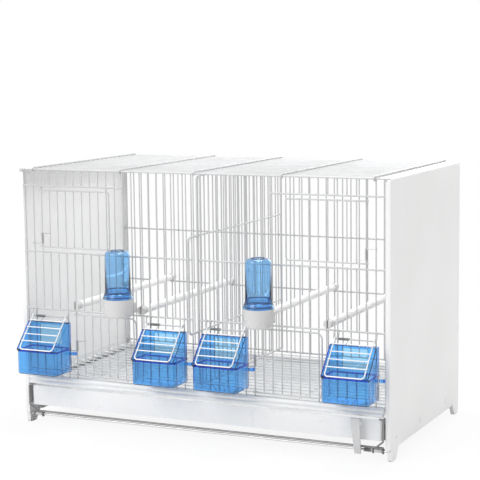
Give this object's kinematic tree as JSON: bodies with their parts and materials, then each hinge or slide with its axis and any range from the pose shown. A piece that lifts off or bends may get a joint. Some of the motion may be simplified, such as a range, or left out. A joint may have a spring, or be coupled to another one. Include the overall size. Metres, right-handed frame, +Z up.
{
  "type": "breeding cage",
  "caption": "Small-bird breeding cage with sheet side panels, wire grilles, sprung doors, slide-in divider, clip-on seed feeders, drinkers, perches, floor grille and drawer.",
  "frame": {"origin": "on the floor under the feet, below the middle of the whole object", "axes": "+X along the front to the right, +Y from the front to the back, +Z up"},
  "size_m": [0.6, 0.3721, 0.3993],
  "materials": {
    "panel_paint": "satin white enamel",
    "white_wire": "glossy white coated wire",
    "bright_bar": "high-gloss white enamel",
    "tray_paint": "satin white enamel",
    "blue_plastic": "clear glossy blue",
    "white_plastic": "glossy white",
    "perch_plastic": "ribbed matt white",
    "spring_steel": "plain spring steel",
    "dark_wire": "dark oxide steel wire",
    "zinc_rod": "zinc plated"
  },
  "bodies": {
    "cage_frame": {"left_side_panel": "panel_paint", "right_side_panel": "panel_paint", "front_grille": "white_wire", "back_grille": "white_wire", "roof_grille": "white_wire", "roof_guides": "white_wire", "flap_hinge_rods": "white_wire", "back_lower_strip": "tray_paint", "floor_runners": "tray_paint", "drawer_runners": "tray_paint", "upper_left_door_spring": "spring_steel", "upper_right_door_spring": "spring_steel", "lower_left_door_spring": "spring_steel", "lower_right_door_spring": "spring_steel", "left_end_flap_spring": "dark_wire", "left_middle_flap_spring": "dark_wire", "right_middle_flap_spring": "dark_wire", "right_end_flap_spring": "dark_wire", "left_drinker_cup": "white_plastic", "right_drinker_cup": "white_plastic", "perch_1": "perch_plastic", "perch_2": "perch_plastic", "perch_3": "perch_plastic", "perch_4": "perch_plastic", "perch_end_caps": "white_plastic", "tie_rod_sleeves": "white_plastic", "front_tie_rod": "zinc_rod", "rear_tie_rod": "zinc_rod", "bail_spring": "dark_wire"},
    "upper_left_door": {"upper_left_door": "white_wire"},
    "upper_right_door": {"upper_right_door": "white_wire"},
    "lower_left_door": {"lower_left_door": "white_wire"},
    "lower_right_door": {"lower_right_door": "white_wire"},
    "left_end_feeder": {"left_end_feeder_tub": "blue_plastic", "left_end_feeder_hood": "blue_plastic"},
    "left_end_flap": {"left_end_feeder_flap": "white_wire"},
    "left_middle_feeder": {"left_middle_feeder_tub": "blue_plastic", "left_middle_feeder_hood": "blue_plastic"},
    "left_middle_flap": {"left_middle_feeder_flap": "white_wire"},
    "right_middle_feeder": {"right_middle_feeder_tub": "blue_plastic", "right_middle_feeder_hood": "blue_plastic"},
    "right_middle_flap": {"right_middle_feeder_flap": "white_wire"},
    "right_end_feeder": {"right_end_feeder_tub": "blue_plastic", "right_end_feeder_hood": "blue_plastic"},
    "right_end_flap": {"right_end_feeder_flap": "white_wire"},
    "left_drinker_tube_body": {"left_drinker_tube": "blue_plastic"},
    "right_drinker_tube_body": {"right_drinker_tube": "blue_plastic"},
    "divider": {"divider_grille": "white_wire", "divider_handle": "white_wire"},
    "floor": {"floor_grille": "white_wire", "floor_grille_front_bar": "bright_bar"},
    "drawer_tray": {"drawer": "tray_paint", "latch_pin": "zinc_rod"},
    "latch": {"drawer_latch": "white_plastic"},
    "bail": {"drawer_bail": "dark_wire"}
  },
  "joints": [
    {"name": "upper_left_door_hinge", "type": "hinge", "parent": "cage_frame", "child": "upper_left_door", "pos_m": [-0.2627, -0.13287, 0.32018], "axis": [0, 0, -1], "range_deg": [0, 110], "stiffness_Nm_per_rad": 0.012, "springref_deg": -34.38, "deforming": ["upper_left_door_spring"]},
    {"name": "upper_right_door_hinge", "type": "hinge", "parent": "cage_frame", "child": "upper_right_door", "pos_m": [0.2627, -0.13287, 0.32018], "axis": [0, 0, 1], "range_deg": [0, 110], "stiffness_Nm_per_rad": 0.012, "springref_deg": -34.38, "deforming": ["upper_right_door_spring"]},
    {"name": "lower_left_door_hinge", "type": "hinge", "parent": "cage_frame", "child": "lower_left_door", "pos_m": [-0.2059, -0.13287, 0.12795], "axis": [0, 0, -1], "range_deg": [0, 90], "stiffness_Nm_per_rad": 0.012, "springref_deg": -34.38, "deforming": ["lower_left_door_spring"]},
    {"name": "lower_right_door_hinge", "type": "hinge", "parent": "cage_frame", "child": "lower_right_door", "pos_m": [0.0923, -0.13287, 0.12795], "axis": [0, 0, -1], "range_deg": [0, 90], "stiffness_Nm_per_rad": 0.012, "springref_deg": -34.38, "deforming": ["lower_right_door_spring"]},
    {"name": "left_end_feeder_slide", "type": "slide", "parent": "cage_frame", "child": "left_end_feeder", "axis": [0, -0.673, -0.7396], "range_m": [0, 0.009]},
    {"name": "left_end_flap_hinge", "type": "hinge", "parent": "cage_frame", "child": "left_end_flap", "pos_m": [-0.2485, -0.14027, 0.171], "axis": [-1, 0, 0], "range_deg": [0, 110], "stiffness_Nm_per_rad": 0.004, "springref_deg": -51.57, "deforming": ["left_end_flap_spring"]},
    {"name": "left_middle_feeder_slide", "type": "slide", "parent": "cage_frame", "child": "left_middle_feeder", "axis": [0, -0.673, -0.7396], "range_m": [0, 0.009]},
    {"name": "left_middle_flap_hinge", "type": "hinge", "parent": "cage_frame", "child": "left_middle_flap", "pos_m": [-0.0497, -0.14027, 0.171], "axis": [-1, 0, 0], "range_deg": [0, 110], "stiffness_Nm_per_rad": 0.004, "springref_deg": -51.57, "deforming": ["left_middle_flap_spring"]},
    {"name": "right_middle_feeder_slide", "type": "slide", "parent": "cage_frame", "child": "right_middle_feeder", "axis": [0, -0.673, -0.7396], "range_m": [0, 0.009]},
    {"name": "right_middle_flap_hinge", "type": "hinge", "parent": "cage_frame", "child": "right_middle_flap", "pos_m": [0.0497, -0.14027, 0.171], "axis": [-1, 0, 0], "range_deg": [0, 110], "stiffness_Nm_per_rad": 0.004, "springref_deg": -51.57, "deforming": ["right_middle_flap_spring"]},
    {"name": "right_end_feeder_slide", "type": "slide", "parent": "cage_frame", "child": "right_end_feeder", "axis": [0, -0.673, -0.7396], "range_m": [0, 0.009]},
    {"name": "right_end_flap_hinge", "type": "hinge", "parent": "cage_frame", "child": "right_end_flap", "pos_m": [0.2485, -0.14027, 0.171], "axis": [-1, 0, 0], "range_deg": [0, 110], "stiffness_Nm_per_rad": 0.004, "springref_deg": -51.57, "deforming": ["right_end_flap_spring"]},
    {"name": "left_drinker_lift", "type": "slide", "parent": "cage_frame", "child": "left_drinker_tube_body", "axis": [0, 0, 1], "range_m": [0, 0.1]},
    {"name": "right_drinker_lift", "type": "slide", "parent": "cage_frame", "child": "right_drinker_tube_body", "axis": [0, 0, 1], "range_m": [0, 0.1]},
    {"name": "divider_slide", "type": "slide", "parent": "cage_frame", "child": "divider", "axis": [0, -1, 0], "range_m": [0, 0.3]},
    {"name": "floor_slide", "type": "slide", "parent": "cage_frame", "child": "floor", "axis": [0, -1, 0], "range_m": [0, 0.3]},
    {"name": "drawer_slide", "type": "slide", "parent": "cage_frame", "child": "drawer_tray", "axis": [0, -1, 0], "range_m": [0, 0.3]},
    {"name": "latch_hinge", "type": "hinge", "parent": "drawer_tray", "child": "latch", "pos_m": [0.253, -0.14567, 0.0539], "axis": [-1, 0, 0], "range_deg": [0, 60]},
    {"name": "bail_hinge", "type": "hinge", "parent": "cage_frame", "child": "bail", "pos_m": [0, -0.13067, 0.0142], "axis": [1, 0, 0], "range_deg": [0, 90], "stiffness_Nm_per_rad": 0.02, "springref_deg": -68.75, "deforming": ["bail_spring"]}
  ]
}
